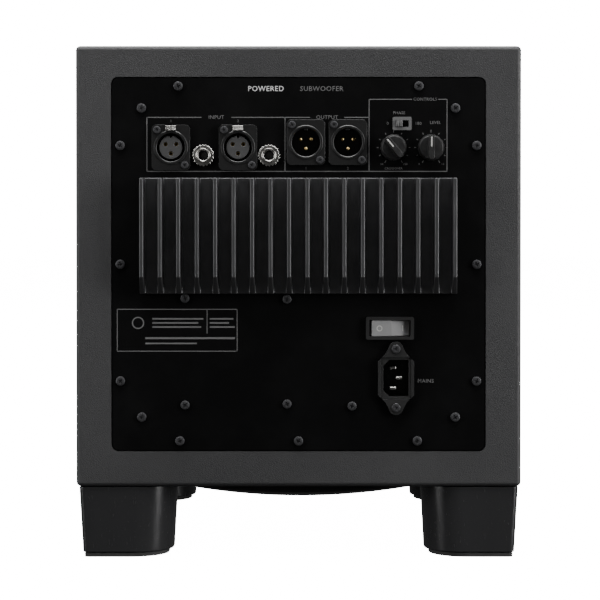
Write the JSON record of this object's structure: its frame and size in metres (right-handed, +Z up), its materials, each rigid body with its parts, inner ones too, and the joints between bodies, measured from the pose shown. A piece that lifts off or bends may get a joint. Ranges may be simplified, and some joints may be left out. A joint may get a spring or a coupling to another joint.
{
  "type": "powered subwoofer",
  "caption": "Powered subwoofer: square black cabinet on four feet, down-firing driver under a domed grille, rear amplifier plate with heat sink, sockets, knobs and mains switch.",
  "frame": {"origin": "middle of the object's box, on the surface that it stands on", "axes": "+Z up, -Y out of the amplifier side, +Y out of the front baffle, +X to the right as seen from the amplifier side"},
  "size_m": [0.304, 0.377, 0.35],
  "materials": {
    "black_vinyl": "fine-grained black vinyl wrap",
    "mdf": "raw medium-density fibreboard",
    "wadding": "white polyester wadding",
    "black_moulding": "black moulded plastic, satin",
    "led_lens": "clear moulded lens",
    "rubber": "matt black rubber",
    "foam": "closed-cell foam strip",
    "black_steel": "steel with black powder coat",
    "bare_steel": "zinc-plated steel",
    "galvanised": "galvanised sheet steel",
    "ferrite": "ground ferrite",
    "paper": "coated black paper pulp",
    "copper": "enamelled copper wire",
    "treated_cloth": "resin-treated cloth",
    "black_pvc": "black cable sheath",
    "black_paint": "satin black painted metal",
    "black_casting": "black anodised aluminium casting",
    "nickel": "nickel-plated, satin",
    "black_plastic": "black moulded plastic",
    "grey_plastic": "dark grey moulded plastic, semi-gloss",
    "board_fibre": "green solder-masked fibreglass board",
    "lamination": "varnished iron laminations",
    "cap_sleeve": "shrink sleeve"
  },
  "bodies": {
    "cabinet": {"vinyl_wrap": "black_vinyl", "top_panel": "mdf", "bottom_panel": "mdf", "side_panel_left": "mdf", "side_panel_right": "mdf", "rear_panel": "mdf", "front_baffle": "mdf", "window_brace": "mdf", "wadding": "wadding", "port_tube": "black_moulding", "power_led": "led_lens", "foot_rear_left": "black_moulding", "foot_rear_right": "black_moulding", "foot_front_left": "black_moulding", "foot_front_right": "black_moulding", "foot_pad_rear_left": "rubber", "foot_pad_rear_right": "rubber", "foot_pad_front_left": "rubber", "foot_pad_front_right": "rubber", "driver_frame": "black_steel", "driver_surround": "rubber", "driver_spider": "treated_cloth", "driver_top_plate": "bare_steel", "driver_magnet": "ferrite", "driver_back_plate": "bare_steel", "driver_shield_can": "bare_steel", "driver_grille": "black_steel", "driver_terminals": "board_fibre", "speaker_lead": "black_pvc", "amp_plate": "black_paint", "amp_gasket": "foam", "heat_sink": "black_casting", "amp_cover": "galvanised", "transformer_core": "lamination", "transformer_winding": "copper", "amp_board": "board_fibre", "reservoir_cap_1": "cap_sleeve", "reservoir_cap_2": "cap_sleeve", "input_board": "board_fibre", "xlr_input_1": "nickel", "xlr_input_2": "nickel", "jack_input_1": "nickel", "jack_input_2": "nickel", "xlr_output_1": "black_paint", "xlr_output_2": "black_paint", "level_pot": "bare_steel", "crossover_pot": "bare_steel", "phase_switch_body": "grey_plastic", "power_switch_housing": "black_plastic", "iec_inlet": "black_plastic"},
    "cone_assembly": {"driver_cone": "paper", "driver_dust_cap": "paper", "driver_voice_coil": "copper"},
    "level_control": {"level_knob": "black_plastic"},
    "crossover_control": {"crossover_knob": "black_plastic"},
    "phase_slider": {"phase_switch_slider": "black_plastic"},
    "power_key": {"power_rocker": "grey_plastic"},
    "input_latch_1": {"xlr_latch_1": "nickel"},
    "input_latch_2": {"xlr_latch_2": "nickel"}
  },
  "joints": [
    {"name": "cone_travel", "type": "slide", "parent": "cabinet", "child": "cone_assembly", "axis": [0, 0, 1], "range_m": [-0.005, 0.005], "stiffness_N_per_m": 2500, "deforming": ["driver_surround", "driver_spider"]},
    {"name": "level_turn", "type": "hinge", "parent": "cabinet", "child": "level_control", "pos_m": [0.0903, -0.1735, 0.2807], "axis": [0, -1, 0], "range_deg": [-150, 150]},
    {"name": "crossover_turn", "type": "hinge", "parent": "cabinet", "child": "crossover_control", "pos_m": [0.0648, -0.1735, 0.2807], "axis": [0, -1, 0], "range_deg": [-190, 110]},
    {"name": "phase_slide", "type": "slide", "parent": "cabinet", "child": "phase_slider", "axis": [1, 0, 0], "range_m": [0, 0.0038]},
    {"name": "power_rock", "type": "hinge", "parent": "cabinet", "child": "power_key", "pos_m": [0.0624, -0.1695, 0.1574], "axis": [0, 0, -1], "range_deg": [0, 16]},
    {"name": "latch_1_press", "type": "slide", "parent": "cabinet", "child": "input_latch_1", "axis": [0, 1, 0], "range_m": [0, 0.0012], "stiffness_N_per_m": 300},
    {"name": "latch_2_press", "type": "slide", "parent": "cabinet", "child": "input_latch_2", "axis": [0, 1, 0], "range_m": [0, 0.0012], "stiffness_N_per_m": 300}
  ]
}
